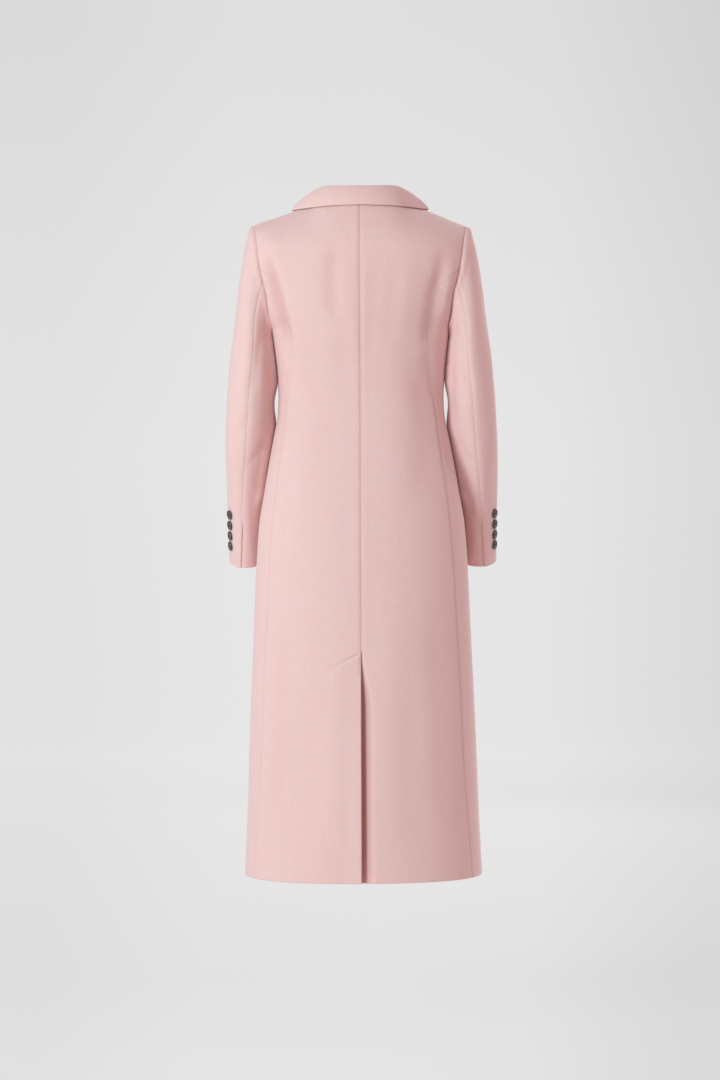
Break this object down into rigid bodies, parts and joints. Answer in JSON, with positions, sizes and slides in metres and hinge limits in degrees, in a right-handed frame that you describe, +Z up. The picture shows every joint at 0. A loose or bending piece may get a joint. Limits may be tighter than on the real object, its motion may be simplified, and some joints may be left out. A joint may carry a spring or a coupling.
{
  "type": "long tailored wool overcoat",
  "caption": "Hollow, worn-shape long tailored overcoat with set-in sleeves, turned-down collar and lapels, princess seams, back vent and buttoned cuffs.",
  "frame": {"origin": "the middle of the neck base, level with the two points where the shoulder seams meet the collar; the wearer's neck and shoulders hold the coat there", "axes": "+Z up along the coat's length, the back faces +Y and the front faces -Y, +X is the wearer's left"},
  "size_m": [0.5034, 0.3566, 1.2607],
  "materials": {
    "wool": "brushed pale pink wool coating, soft nap, matt with a faint sheen",
    "horn": "dark brown mottled horn-like buttons, satin polish"
  },
  "bodies": {
    "root": {"back_left": "wool", "back_right": "wool", "side_left": "wool", "side_right": "wool", "front_left": "wool", "front_right": "wool", "sleeve_top_left": "wool", "sleeve_top_right": "wool", "sleeve_under_left": "wool", "sleeve_under_right": "wool", "lapel_left": "wool", "lapel_right": "wool", "collar_stand": "wool", "collar_fall": "wool", "cuff_button_left_1": "horn", "cuff_button_left_2": "horn", "cuff_button_left_3": "horn", "cuff_button_left_4": "horn", "cuff_button_right_1": "horn", "cuff_button_right_2": "horn", "cuff_button_right_3": "horn", "cuff_button_right_4": "horn", "front_button_1": "horn", "front_button_2": "horn", "front_button_3": "horn"}
  },
  "joints": []
}
